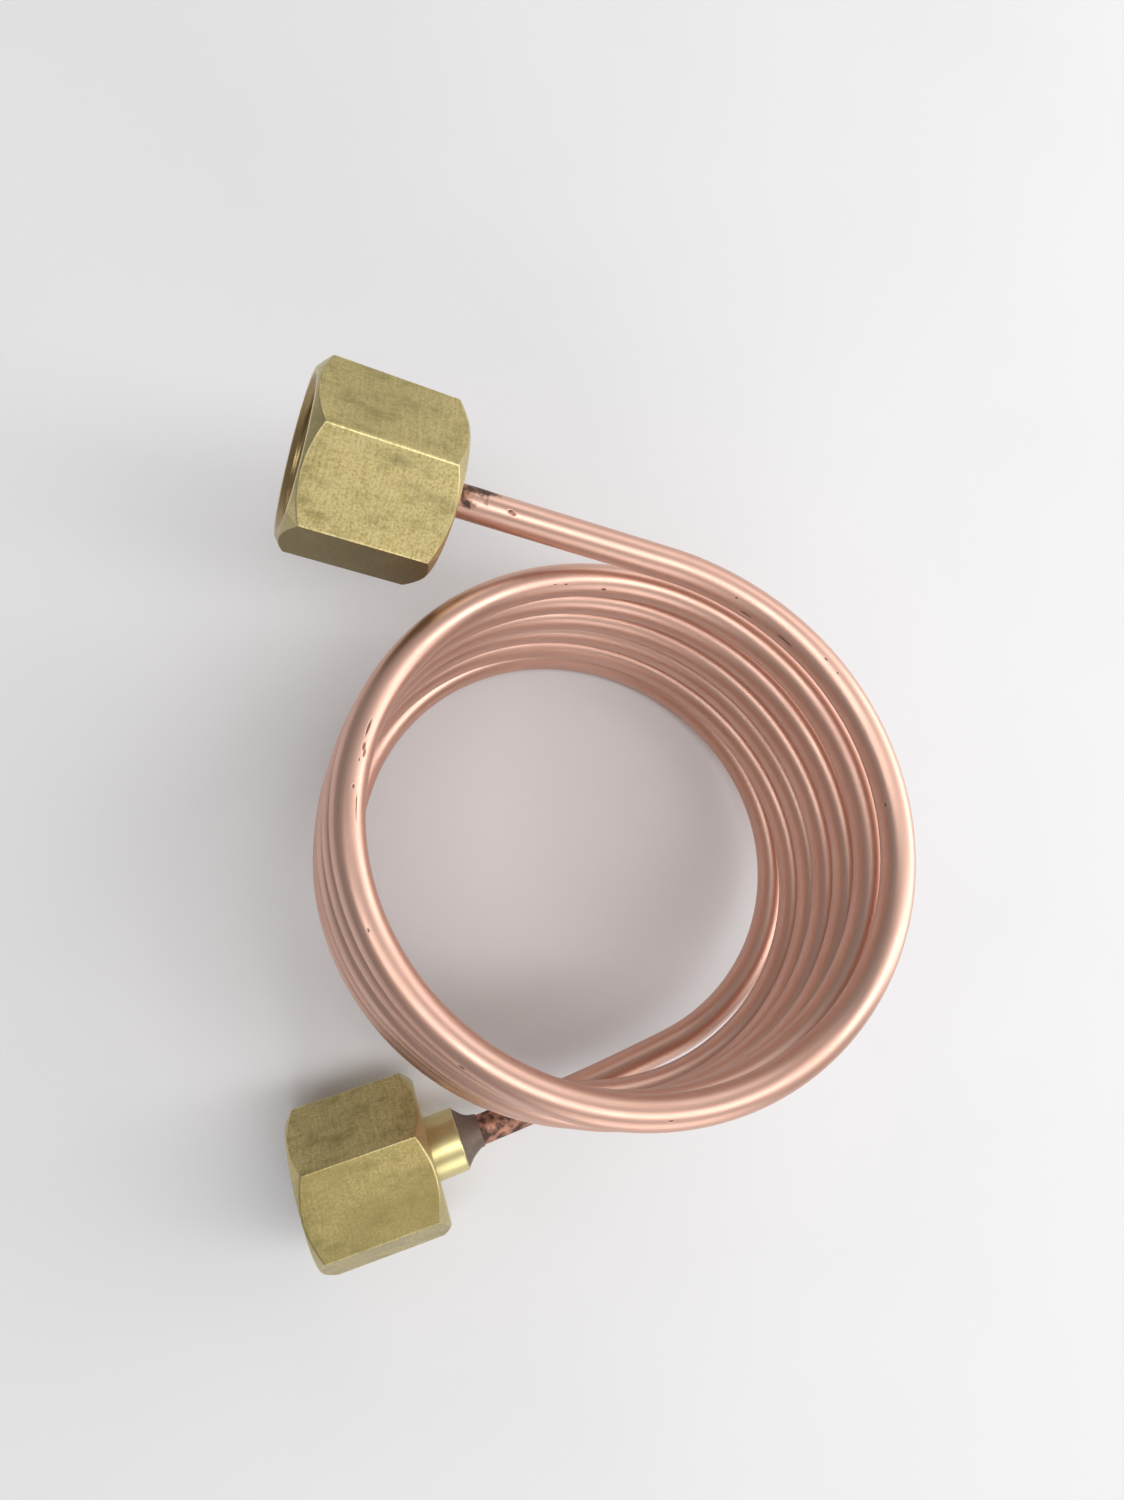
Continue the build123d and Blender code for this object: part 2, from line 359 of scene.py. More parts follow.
def lead_points(start, direction, turn_back, bend, straight, rise):
    """Arc that is tangent to the turns and then a straight run, with the straight's direction.

    The arc goes by the sine of its angle along the turns' last direction, and by one less the
    cosine towards the straight's, both times the bend radius.
    """
    level = turned(unit(direction * (1, 1, 0)), turn_back)
    final = level * math.cos(rise) + np.array((0, 0, math.sin(rise)))
    turn = math.acos(direction @ final)
    side = unit(final - direction * math.cos(turn))
    angles = np.linspace(0, turn, BEND_POINTS)[1:, None]
    arc = start + bend * (np.sin(angles) * direction + (1 - np.cos(angles)) * side)
    run = arc[-1] + np.linspace(0, straight + TAIL_LENGTH, STRAIGHT_POINTS)[1:, None] * final
    return np.concatenate((arc, run)), final


def leaned():
    """Matrix that leans the upright coil until its bottom turn and the lower nut touch the floor."""
    hinge = LEAN_AZIMUTH + math.pi / 2
    return np.array(Matrix.Rotation(LEAN, 3, Vector((math.cos(hinge), math.sin(hinge), 0))))


def tube_line(joints):
    """Tube's centre line where the part stands, upper end first, and its two ends' directions.

    The lower lead runs level with the floor. The shift onto the floor is the one that puts the
    middle of the lower tail's head on the axis of its nut, a known way in front of the nut's back.
    """
    tilt = leaned()
    up = tilt.T @ np.array((0, 0, 1))
    winding = coil_points(np.linspace(0, TURNS, WINDING_POINTS))
    first = unit(winding[0] - winding[1])
    last = unit(winding[-1] - winding[-2])
    upper, upper_out = lead_points(winding[0], first, rise=UPPER_RISE, **UPPER_LEAD)
    level = turned(unit(last * (1, 1, 0)), LOWER_LEAD["turn_back"])
    fall = -math.atan(level @ up / up[2])
    lower, lower_out = lead_points(winding[-1], last, rise=fall, **LOWER_LEAD)
    line = np.concatenate((upper[::-1], winding, lower)) @ tilt.T
    upper_out, lower_out = tilt @ upper_out, tilt @ lower_out
    back, outward = joints["lower_nut_spin"]
    head = back + outward * LOWER_PIVOT
    return line + (head + lower_out * HEAD_LENGTH / 2 - line[-1]), upper_out, lower_out


def tube_surface(line):
    """Tube swept along its line with an open bore.

    A ring stands square to the line at every station, and its first direction is the coil's own
    axis made square to the line, so it doesn't twist. The rings run along the outside, over the
    broken edge, across the end and back along the bore. The outside is a shade out of round along
    its length, as bent tube is, and never stands outside its nominal size. The attribute own is
    the same point on the straightened tube.
    """
    spacing = np.linalg.norm(np.diff(line, axis=0), axis=1)
    along = np.concatenate(([0], np.cumsum(spacing)))
    length = along[-1]
    even = np.linspace(EVEN_FROM, length - EVEN_FROM, TUBE_STATIONS)
    outside = np.concatenate((END_RINGS, even, length - END_RINGS[::-1]))
    inside = np.linspace(length - BORE_FROM, BORE_FROM, BORE_STATIONS)
    stations = np.concatenate(
        (outside, length - RIM_DEPTHS, [length] * 2, inside, [0] * 2, RIM_DEPTHS[::-1])
    )
    end_face = [(TUBE_RADIUS + BORE_RADIUS) / 2, BORE_RADIUS + BORE_EDGE]
    reach = np.concatenate(
        (
            np.full(len(outside), TUBE_RADIUS),
            TUBE_RADIUS - RIM_INSETS,
            end_face,
            np.full(len(inside), BORE_RADIUS),
            end_face[::-1],
            TUBE_RADIUS - RIM_INSETS[::-1],
        )
    )
    centre = np.stack([np.interp(stations, along, line[:, k]) for k in range(3)], axis=1)
    slope = np.gradient(line, along, axis=0)
    ahead = unit(np.stack([np.interp(stations, along, slope[:, k]) for k in range(3)], axis=1))
    axis = leaned() @ np.array((0, 0, 1))
    top = unit(axis - ahead * (ahead @ axis)[:, None])
    side = np.cross(ahead, top)
    around = np.linspace(0, math.tau, TUBE_SIDES, endpoint=False)
    outer = reach > TUBE_RADIUS - RIM_INSETS[1]
    noise = smooth_noise(stations / OUT_OF_ROUND_RUN, OUT_OF_ROUND_SEED)
    squash = OUT_OF_ROUND * (1 + noise) * outer
    radius = reach[:, None] - squash[:, None] * (1 + np.cos(2 * (around - OUT_OF_ROUND_SIDE)))
    across = np.cos(around)[:, None] * top[:, None] + np.sin(around)[:, None] * side[:, None]
    points = centre[:, None] + radius[..., None] * across
    lengthwise = np.broadcast_to(stations[:, None], radius.shape)
    own = np.stack((radius * np.cos(around), radius * np.sin(around), lengthwise), axis=-1)
    return closed_surface(
        "drawn_tube",
        points,
        own=own * MM,
        from_end=np.minimum(lengthwise, length - lengthwise),
        upper=(lengthwise < length / 2).astype(float),
    )


def tail_seat(end, outward):
    """Where the tube's brazed end is, and the tail's axes as columns: level, square to it, outward."""
    level = unit(np.cross(outward, (0, 0, 1)))
    axes = np.stack((level, np.cross(outward, level), outward), axis=1)
    return end - outward * TAIL_LENGTH, axes


def nut_seat(joint, tail_axes, swing):
    """Where the back of a nut is, and its own axes: the tail's, swung aside, tipped and turned."""
    aside, tipped, turn = (Matrix.Rotation(angle, 3, axis) for angle, axis in zip(swing, "ZXZ"))
    return joint[0], tail_axes @ np.array(aside @ tipped @ turn)


def placed(local, seat):
    """Points of a fitting carried from its own axes to where it sits."""
    return seat[0] + local @ seat[1].T


def turned_grid(profile, columns):
    """Outline of (radius, height) turned round its axis, at evenly spaced angles."""
    angle = np.linspace(0, math.tau, columns, endpoint=False)
    radius, height = profile[:, :1], np.repeat(profile[:, 1:], columns, axis=1)
    return np.stack((radius * np.cos(angle), radius * np.sin(angle), height), axis=-1)


def tail_surface(name, seat):
    """Turned brass tail: the outline of a collar and a head, every corner broken, turned round."""
    corners = np.array(
        [
            (TAIL_BORE, 0),
            (COLLAR_RADIUS, 0),
            (COLLAR_RADIUS, COLLAR_LENGTH),
            (HEAD_RADIUS - HEAD_EDGE, COLLAR_LENGTH),
            (HEAD_RADIUS, COLLAR_LENGTH + HEAD_EDGE),
            (HEAD_RADIUS, TAIL_LENGTH - HEAD_EDGE),
            (HEAD_RADIUS - HEAD_EDGE, TAIL_LENGTH),
            (TAIL_BORE, TAIL_LENGTH),
        ]
    )
    local = turned_grid(rounded(corners, TAIL_ROUNDING), TURNED_SIDES)
    return closed_surface(name, placed(local, seat), own=local * MM)


def braze_surface(name, seat):
    """Filler that sags in a hollow cone from the collar to the tube.

    Its outside is the tip radius plus a falling power of the height, roughened by sines that run
    round and along it, and it never swells past the CAD cone.
    """
    height = np.linspace(0, 1, BRAZE_RINGS)[:, None]
    angle = np.linspace(0, math.tau, TURNED_SIDES, endpoint=False)
    waves = LUMPS_ROUND * np.sin(angle) + LUMPS_ALONG * height
    lumps = smooth_noise(waves, BRAZE_SEED) * np.sin(math.pi * height)
    radius = BRAZE_TIP + (BRAZE_FOOT - BRAZE_TIP) * (1 - height) ** BRAZE_SAG
    radius = np.maximum(radius - BRAZE_LUMPS * (1 + lumps), BRAZE_THINNEST)
    level = -BRAZE_LENGTH * height + 0 * angle
    outside = np.stack((radius * np.cos(angle), radius * np.sin(angle), level), axis=-1)
    bore = np.full((2, 1), BRAZE_BORE)
    depth = np.array([[-BRAZE_LENGTH], [0.0]]) + 0 * angle
    inside = np.stack((bore * np.cos(angle), bore * np.sin(angle), depth), axis=-1)
    local = np.concatenate((outside, inside))
    return closed_surface(name, placed(local, seat), own=local * MM)


def hexagon_outline():
    """Hexagon with softly rounded corners, a corner on the first axis, as points round it.

    One sixth is worked out in complex numbers, half a flat, a corner arc and half a flat, and
    turned six times. The points of a flat crowd towards its corners, and beside each point comes
    its distance from the nearest corner.
    """
    half_flat = FLAT * math.tan(math.pi / 6)
    tangent = half_flat - NUT_CORNER * math.tan(math.pi / 6)
    crowded = np.array((0, 0.3, 0.55, 0.75, 0.88, 0.955))
    run = np.append(crowded * tangent, tangent - CORNER_STEP)
    first_flat = (FLAT + 1j * run) * np.exp(-1j * math.pi / 6)
    bend = np.linspace(-math.pi / 6, math.pi / 6, CORNER_POINTS)
    corner = (FLAT - NUT_CORNER) / math.cos(math.pi / 6) + NUT_CORNER * np.exp(1j * bend)
    second_flat = (FLAT - 1j * run[:0:-1]) * np.exp(1j * math.pi / 6)
    sixth = np.concatenate((first_flat, corner, second_flat))
    away = half_flat - run
    from_corner = np.concatenate((away, np.zeros(len(corner)), away[:0:-1]))
    turns = np.exp(1j * math.pi / 3 * np.arange(6))
    return (turns[:, None] * sixth).ravel(), np.tile(from_corner, 6)


def nut_corners(reach, drop):
    """Corners of the nut's cut through its axis at every angle, from the hole's back edge round.

    They go over the back, the chamfers and the flat, whose ends lie where the cone meets the
    hexagon at that angle, then in at the mouth, down the thread and out through the hole.
    """
    fixed = np.ones_like(reach)
    return np.array(
        [
            (NUT_HOLE * fixed, 0 * fixed),
            (NUT_FACE * fixed, 0 * fixed),
            (reach, drop),
            (reach, NUT_LENGTH - drop),
            (NUT_FACE * fixed, NUT_LENGTH * fixed),
            (THREAD_MOUTH * fixed, NUT_LENGTH * fixed),
            (THREAD * fixed, THREAD_START * fixed),
            (THREAD * fixed, RELIEF_END * fixed),
            (RELIEF * fixed, RELIEF_END * fixed),
            (RELIEF * fixed, NUT_WEB * fixed),
            (NUT_HOLE * fixed, NUT_WEB * fixed),
        ]
    )


def thread_ridges(height, angle, depth):
    """How far the thread's ridges reach in, at a height, an angle and a share of its length.

    They are a triangle wave of the height less the turn of the angle, in pitches, cut flat at the
    crest and the root, and they fade out at both ends.
    """
    phase = (height / THREAD_PITCH - angle / math.tau) % 1
    ridge = np.clip(RIDGE_STEEPNESS * (1 - np.abs(2 * phase - 1)) - RIDGE_GAP, 0, 1)
    return THREAD_DEPTH * ridge * np.clip(np.minimum(depth, 1 - depth) * RIDGE_FADE, 0, 1)


def nut_surface(name, seat, wear):
    """Union nut: a rounded hexagon cut by two chamfer cones, bored, relieved and threaded.

    Each column of points is one cut through the axis, its corners rounded, with even rows of
    points on the flat and down the thread. The wear of each of the six flats, counted round from
    the first corner, becomes an attribute of its points, and so do the distance from the nearest
    edge and whether a point is turned or bored.
    """
    outline, from_corner = hexagon_outline()
    reach, angle = np.abs(outline), np.angle(outline)
    drop = (reach - NUT_FACE) * CHAMFER
    profile = rounded(nut_corners(reach, drop).transpose(0, 2, 1), NUT_ROUNDING)
    per_corner = CURVE_POINTS + 2
    flat_row, thread_row = 3 * per_corner, 7 * per_corner
    down = np.linspace(0, 1, FLAT_ROWS)[1:-1, None, None]
    flats = profile[flat_row - 1] * (1 - down) + profile[flat_row] * down
    depth = np.linspace(0, 1, THREAD_ROWS)[1:-1, None, None]
    threads = profile[thread_row - 1] * (1 - depth) + profile[thread_row] * depth
    threads[..., 0] -= thread_ridges(threads[..., 1], angle, depth[..., 0])
    rows = np.concatenate(
        (profile[:flat_row], flats, profile[flat_row:thread_row], threads, profile[thread_row:])
    )
    radius, height = rows[..., 0], rows[..., 1]
    local = np.stack((radius * np.cos(angle), radius * np.sin(angle), height), axis=-1)
    near, margin, farthest = 0.02, 0.1, 3
    end = np.minimum(height, NUT_LENGTH - height)
    on_flat = (radius > reach - near) & (end >= drop - near)
    from_flat = np.hypot(radius - reach, end - drop)
    edge = np.where(on_flat, np.minimum(from_corner, end - drop), from_flat)
    edge = np.minimum(edge, np.abs(radius - NUT_FACE) + end * 2)
    in_hole = radius < NUT_HOLE + margin
    in_thread = (radius < THREAD_MOUTH + margin) & (height > NUT_WEB - 2 * margin)
    # a hair keeps the first point of each sixth on its own flat
    hair = math.pi / 12000
    flat_number = ((angle + hair) // (math.pi / 3)).astype(int) % 6
    return closed_surface(
        name,
        placed(local, seat),
        own=local * MM,
        edge=np.clip(edge, 0, farthest),
        wear=np.broadcast_to(np.array(wear)[flat_number], radius.shape),
        turned=(~on_flat).astype(float),
        bore=(in_hole | in_thread).astype(float),
    )


def linear(colour):
    """sRGB hex colour as linear red, green, blue and alpha."""
    parts = [int(colour[k : k + 2], 16) / 255 for k in (1, 3, 5)]
    return [p / 12.92 if p <= 0.04045 else ((p + 0.055) / 1.055) ** 2.4 for p in parts] + [1.0]


def per_metre(*steps):
    """How often a pattern repeats in a metre, for steps of so many millimetres."""
    counts = tuple(1 / (step * MM) for step in steps)
    return counts if len(counts) > 1 else counts[0]


def add(tree, kind, inputs, out=0, **settings):
    """New node with its settings; each input takes a value, or a link if it is given a socket."""
    node = tree.nodes.new("ShaderNode" + kind)
    for name, value in settings.items():
        setattr(node, name, value)
    for name, value in inputs.items():
        if isinstance(value, bpy.types.NodeSocket):
            tree.links.new(value, node.inputs[name])
        else:
            node.inputs[name].default_value = value
    return node.outputs[out]


# Inputs of a Mix node for colours, and its settings
FACTOR, FIRST, SECOND = 0, 6, 7
COLOURS = {"out": 2, "data_type": "RGBA"}

# Values that fall as the one they are ranged from grows
FALLING = {"To Min": 1.0, "To Max": 0.0}


def new_material(name):
    """Empty node material, and the tree to add to."""
    material = bpy.data.materials.new(name)
    material.use_nodes = True
    material.node_tree.nodes.clear()
    return material, material.node_tree


def finish_material(tree, shader):
    """Shader joined to the material's output."""
    output = tree.nodes.new("ShaderNodeOutputMaterial")
    tree.links.new(shader, output.inputs["Surface"])


def tube_marks(tree, own, ragged):
    """Strength of the dark marks: each an ellipsoid on the straightened tube, with a ragged edge.

    The way from a mark's middle is divided by its half sizes, so its length is 1 at the edge, and
    ragged noise is added to that before it fades from full strength to none.
    """
    strength = 0.0
    for station, angle, length, width in TUBE_MARKS:
        turn = math.radians(angle)
        spot = np.array((TUBE_RADIUS * math.cos(turn), TUBE_RADIUS * math.sin(turn), station)) * MM
        away = add(tree, "VectorMath", {0: own, 1: spot}, operation="SUBTRACT")
        sizes = per_metre(width, width, length)
        scaled = add(tree, "VectorMath", {0: away, 1: sizes}, operation="MULTIPLY")
        distance = add(tree, "VectorMath", {0: scaled}, out="Value", operation="LENGTH")
        frayed = add(tree, "Math", {0: ragged, 1: 1.4, 2: distance}, operation="MULTIPLY_ADD")
        mark = add(tree, "MapRange", {"Value": frayed, "From Min": 1.3, "From Max": 1.8, **FALLING})
        strength = add(tree, "Math", {0: mark, 1: strength}, operation="MAXIMUM")
    return strength


def drawn_copper():
    """Soft copper tube, drawn and wound by hand.

    The die leaves fine lines along it, handling dulls it in clouds and leaves a few dark specks,
    and the torch has browned it beside both fittings, much further on the lower one.
    """
    material, tree = new_material("drawn_copper")
    clean, dulled, lined = linear("#E2BCAC"), linear("#D6AA97"), linear("#BE8B75")
    sooty, browned, nicked = linear("#5F4B44"), linear("#CB9781"), linear("#84604F")
    own = add(tree, "Attribute", {}, out="Vector", attribute_name="own")
    from_end = add(tree, "Attribute", {}, out="Fac", attribute_name="from_end")
    upper = add(tree, "Attribute", {}, out="Fac", attribute_name="upper")
    # die lines: real ones are too fine to show, so these are 0.3 mm apart and 12.5 mm long
    line_steps = per_metre(0.303, 0.303, 12.5)
    drawn = add(tree, "VectorMath", {0: own, 1: line_steps}, operation="MULTIPLY")
    lines = add(tree, "TexNoise", {"Vector": drawn, "Scale": 1.0, "Detail": 3.0})
    # clouds of handling 8 mm across and twice as long
    cloud_steps = per_metre(7.69, 7.69, 16.67)
    clouded = add(tree, "VectorMath", {0: own, 1: cloud_steps}, operation="MULTIPLY")
    clouds = add(tree, "TexNoise", {"Vector": clouded, "Scale": 1.0, "Detail": 3.0})
    metal = add(tree, "Mix", {FACTOR: clouds, FIRST: clean, SECOND: dulled}, **COLOURS)
    streak = add(tree, "MapRange", {"Value": lines, "From Min": 0.45, "From Max": 0.8, "To Max": 0.3})
    streaked = add(tree, "Mix", {FACTOR: streak, FIRST: metal, SECOND: lined}, **COLOURS)
    # torch colour with an edge in blots of 1.6 mm: a skin of scale that reaches further on one side
    # by the upper nut, and a long brown reach at the lower end
    blots = {"Vector": own, "Scale": per_metre(1.613), "Detail": 4.0, "Roughness": 0.6}
    ragged = add(tree, "TexNoise", blots)
    wandering = {"From Min": 0.3, "From Max": 0.7, "To Min": -HEAT_WANDER, "To Max": HEAT_WANDER}
    wander = add(tree, "MapRange", {"Value": ragged, **wandering})
    across = add(tree, "VectorMath", {0: own, 1: HEAT_SIDE}, out="Value", operation="DOT_PRODUCT")
    leaning = -HEAT_LOPSIDED / (TUBE_RADIUS * MM)
    upper_side = add(tree, "Math", {0: across, 1: leaning, 2: wander}, operation="MULTIPLY_ADD")
    lower_reach = add(tree, "Math", {0: wander, 1: -LOWER_HEAT}, operation="ADD")
    shift = add(tree, "Mix", {0: upper, 2: lower_reach, 3: upper_side}, data_type="FLOAT")
    distance = add(tree, "Math", {0: from_end, 1: shift}, operation="ADD")
    full = UPPER_NUT_BACK + HEAT_START
    fading = {"From Min": full, "From Max": full + HEAT_FADE, **FALLING}
    heat = add(tree, "MapRange", {"Value": distance, **fading})
    sooted = add(tree, "Math", {0: upper, 1: -0.1, 2: ragged}, operation="MULTIPLY_ADD")
    tint = add(tree, "MapRange", {"Value": sooted, "From Min": 0.4, "From Max": 0.6})
    scale = add(tree, "Mix", {FACTOR: tint, FIRST: sooty, SECOND: browned}, **COLOURS)
    heated = add(tree, "Mix", {FACTOR: heat, FIRST: streaked, SECOND: scale}, **COLOURS)
    marks = tube_marks(tree, own, ragged)
    colour = add(tree, "Mix", {FACTOR: marks, FIRST: heated, SECOND: nicked}, **COLOURS)
    handled = {"From Min": 0.3, "From Max": 0.7, "To Min": 0.35, "To Max": 0.46}
    rough = add(tree, "MapRange", {"Value": clouds, **handled})
    rougher = add(tree, "Math", {0: heat, 1: 0.2, 2: rough}, operation="MULTIPLY_ADD")
    ridges = {"Strength": 0.2, "Distance": 0.015 * MM, "Height": lines}
    fine = add(tree, "Bump", ridges, out="Normal")
    waves = {"Strength": 0.25, "Distance": 0.04 * MM, "Height": clouds, "Normal": fine}
    wavy = add(tree, "Bump", waves, out="Normal")
    dents = {"Strength": 0.6, "Distance": 0.06 * MM, "Height": marks, "Normal": wavy}
    dented = add(tree, "Bump", dents, out="Normal", invert=True)
    surface = {"Base Color": colour, "Metallic": 1.0, "Roughness": rougher, "Normal": dented}
    finish_material(tree, add(tree, "BsdfPrincipled", surface))
    return material


def tarnished_brass():
    """Brass hexagon bar, sawn, chamfered and left to tarnish.

    Each flat has its own share of wear, from brown through khaki to scraped gold. Golden speckle
    and fine lines across the bar show where it is worn, with dark pits between them, and dark
    smudges lie on all of it. The chamfers are turned smooth. Corners are painted bright in places,
    bare brass worn through and a painted highlight along the edge, and the threaded bore is
    painted a darker brown, a painted shade inside the hole.
    """
    material, tree = new_material("tarnished_brass_bar")
    brown, khaki, gold = linear("#85733F"), linear("#B4A878"), linear("#C9B577")
    golden, pit, smudge = linear("#EADBA6"), linear("#6F6336"), linear("#80744A")
    # the pale corner colour is worn bare brass together with a painted highlight along the edges
    rubbed_and_highlit, lathed, threaded = linear("#F2E4AC"), linear("#CDBF8F"), linear("#A48C62")
    own = add(tree, "Attribute", {}, out="Vector", attribute_name="own")
    edge, chamfer, bore, wear = (
        add(tree, "Attribute", {}, out="Fac", attribute_name=name)
        for name in ("edge", "turned", "bore", "wear")
    )
    # speckle of 0.4 mm, and scrapes across the bar 0.4 mm apart and 4 mm long
    specks = {"Vector": own, "Scale": per_metre(0.385), "Detail": 4.0, "Roughness": 0.7}
    speckle = add(tree, "TexNoise", specks)
    scrape_steps = per_metre(3.85, 3.85, 0.385)
    scraped = add(tree, "VectorMath", {0: own, 1: scrape_steps}, operation="MULTIPLY")
    scratchy = {"Vector": scraped, "Scale": 1.0, "Detail": 3.0, "Roughness": 0.6}
    scrapes = add(tree, "TexNoise", scratchy)
    # smudges 3 mm wide and 6 mm long, and patches of wear 9 mm across
    smudge_steps = per_metre(3.03, 3.03, 5.88)
    long_way = add(tree, "VectorMath", {0: own, 1: smudge_steps}, operation="MULTIPLY")
    blurred = {"Vector": long_way, "Scale": 1.0, "Detail": 5.0, "Roughness": 0.65}
    smudges = add(tree, "TexNoise", blurred)
    patches = add(tree, "TexNoise", {"Vector": own, "Scale": per_metre(9.09), "Detail": 2.0})
    patchy = add(tree, "Math", {0: patches, 1: 0.6, 2: wear}, operation="MULTIPLY_ADD")
    worn = add(tree, "MapRange", {"Value": patchy, "From Min": 0.3, "From Max": 1.3})
    pale = add(tree, "MapRange", {"Value": wear, "From Min": 0.0, "From Max": 0.5})
    tarnish = add(tree, "Mix", {FACTOR: pale, FIRST: brown, SECOND: khaki}, **COLOURS)
    base = add(tree, "Mix", {FACTOR: worn, FIRST: tarnish, SECOND: gold}, **COLOURS)
    grain = add(tree, "Math", {0: scrapes, 1: 0.4, 2: speckle}, operation="MULTIPLY_ADD")
    glint = add(tree, "MapRange", {"Value": grain, "From Min": 0.62, "From Max": 0.86})
    glint_share = add(tree, "Math", {0: glint, 1: worn}, operation="MULTIPLY")
    speckled = add(tree, "Mix", {FACTOR: glint_share, FIRST: base, SECOND: golden}, **COLOURS)
    pitting = {"From Min": 0.52, "From Max": 0.66, "To Min": 0.45, "To Max": 0.0}
    pits = add(tree, "MapRange", {"Value": grain, **pitting})
    pit_share = add(tree, "Math", {0: pits, 1: worn}, operation="MULTIPLY")
    pitted = add(tree, "Mix", {FACTOR: pit_share, FIRST: speckled, SECOND: pit}, **COLOURS)
    dark = add(tree, "MapRange", {"Value": smudges, "From Min": 0.5, "From Max": 0.68, "To Max": 0.6})
    smudged = add(tree, "Mix", {FACTOR: dark, FIRST: pitted, SECOND: smudge}, **COLOURS)
    # corners are painted bright within 0.3 mm, more where a flat is worn, and in broken lines:
    # bare brass worn through the tarnish and a painted highlight along the edge
    rim = add(tree, "MapRange", {"Value": edge, "From Min": 0.04, "From Max": 0.28, **FALLING})
    breaking = {"From Min": 0.35, "From Max": 0.6, "To Min": 0.15, "To Max": 0.9}
    broken = add(tree, "MapRange", {"Value": scrapes, **breaking})
    rim_worn = add(tree, "Math", {0: rim, 1: worn}, operation="MULTIPLY")
    edge_highlight_share = add(tree, "Math", {0: rim_worn, 1: broken}, operation="MULTIPLY")
    edged = add(tree, "Mix", {FACTOR: edge_highlight_share, FIRST: smudged, SECOND: rubbed_and_highlit}, **COLOURS)
    chamfer_share = add(tree, "Math", {0: chamfer, 1: 0.6}, operation="MULTIPLY")
    faced = add(tree, "Mix", {FACTOR: chamfer_share, FIRST: edged, SECOND: lathed}, **COLOURS)
    # the bore is painted a darker brown than the turned brass, a painted shade inside the threaded
    # hole
    colour = add(tree, "Mix", {FACTOR: bore, FIRST: faced, SECOND: threaded}, **COLOURS)
    polished = {"From Min": 0.55, "From Max": 0.85, "To Min": 0.5, "To Max": 0.36}
    rough = add(tree, "MapRange", {"Value": grain, **polished})
    smoother = add(tree, "Math", {0: chamfer, 1: -0.08, 2: rough}, operation="MULTIPLY_ADD")
    bumps = {"Strength": 0.6, "Distance": 0.03 * MM, "Height": grain}
    bumpy = add(tree, "Bump", bumps, out="Normal")
    surface = {"Base Color": colour, "Metallic": 1.0, "Roughness": smoother, "Normal": bumpy}
    finish_material(tree, add(tree, "BsdfPrincipled", surface))
    return material


def turned_brass():
    """Bright brass, turned on a lathe: rings a fifth of a millimetre apart and a clean yellow."""
    material, tree = new_material("turned_brass")
    yellow, duller = linear("#E3D8A4"), linear("#CDBD85")
    own = add(tree, "Attribute", {}, out="Vector", attribute_name="own")
    clouds = add(tree, "TexNoise", {"Vector": own, "Scale": per_metre(4.55), "Detail": 4.0})
    colour = add(tree, "Mix", {FACTOR: clouds, FIRST: yellow, SECOND: duller}, **COLOURS)
    ring_steps = per_metre(3.33, 3.33, 0.192)
    rings = add(tree, "VectorMath", {0: own, 1: ring_steps}, operation="MULTIPLY")
    tooled = add(tree, "TexNoise", {"Vector": rings, "Scale": 1.0, "Detail": 2.0})
    bumps = {"Strength": 0.4, "Distance": 0.03 * MM, "Height": tooled}
    bumpy = add(tree, "Bump", bumps, out="Normal")
    surface = {"Base Color": colour, "Metallic": 1.0, "Roughness": 0.38, "Normal": bumpy}
    finish_material(tree, add(tree, "BsdfPrincipled", surface))
    return material


def scaled_braze():
    """Brazing filler under a dull grey brown skin of oxide and flux, with a crust of 1 mm grains."""
    material, tree = new_material("oxidised_braze")
    grey, brown = linear("#5A504A"), linear("#8C7868")
    own = add(tree, "Attribute", {}, out="Vector", attribute_name="own")
    grains = {"Vector": own, "Scale": per_metre(1.11), "Detail": 5.0, "Roughness": 0.7}
    crust = add(tree, "TexNoise", grains)
    colour = add(tree, "Mix", {FACTOR: crust, FIRST: grey, SECOND: brown}, **COLOURS)
    bumps = {"Strength": 0.7, "Distance": 0.1 * MM, "Height": crust}
    bumpy = add(tree, "Bump", bumps, out="Normal")
    surface = {"Base Color": colour, "Metallic": 0.5, "Roughness": 0.55, "Normal": bumpy}
    finish_material(tree, add(tree, "BsdfPrincipled", surface))
    return material


def studio_floor():
    """Matt pale grey board, hardly mottled, in clouds of 56 mm."""
    material, tree = new_material("pale_board")
    light, dark = linear("#E7E6E7"), linear("#E0E0E2")
    place = add(tree, "TexCoord", {}, out="Object")
    mottle = add(tree, "TexNoise", {"Vector": place, "Scale": per_metre(55.6), "Detail": 3.0})
    colour = add(tree, "Mix", {FACTOR: mottle, FIRST: light, SECOND: dark}, **COLOURS)
    surface = {"Base Color": colour, "Roughness": 0.8, "Specular IOR Level": 0.2}
    finish_material(tree, add(tree, "BsdfPrincipled", surface))
    return material


def make_stage():
    """Level floor under the part, a square of one face."""
    half = FLOOR_HALF * MM
    corners = [(-half, -half, 0), (half, -half, 0), (half, half, 0), (-half, half, 0)]
    mesh = bpy.data.meshes.new("floor")
    mesh.from_pydata(corners, [], [(0, 1, 2, 3)])
    floor = bpy.data.objects.new("floor", mesh)
    bpy.context.scene.collection.objects.link(floor)
    mesh.materials.append(studio_floor())


def area_light(name, place, target, width, length, power):
    """Soft white panel that faces its target."""
    lamp = bpy.data.lights.new(name, "AREA")
    lamp.shape = "RECTANGLE"
    lamp.size = width * MM
    lamp.size_y = length * MM
    lamp.energy = power
    light = bpy.data.objects.new(name, lamp)
    bpy.context.scene.collection.objects.link(light)
    light.location = Vector(place) * MM
    light.rotation_euler = (Vector(target) - Vector(place)).to_track_quat("-Z", "Y").to_euler()


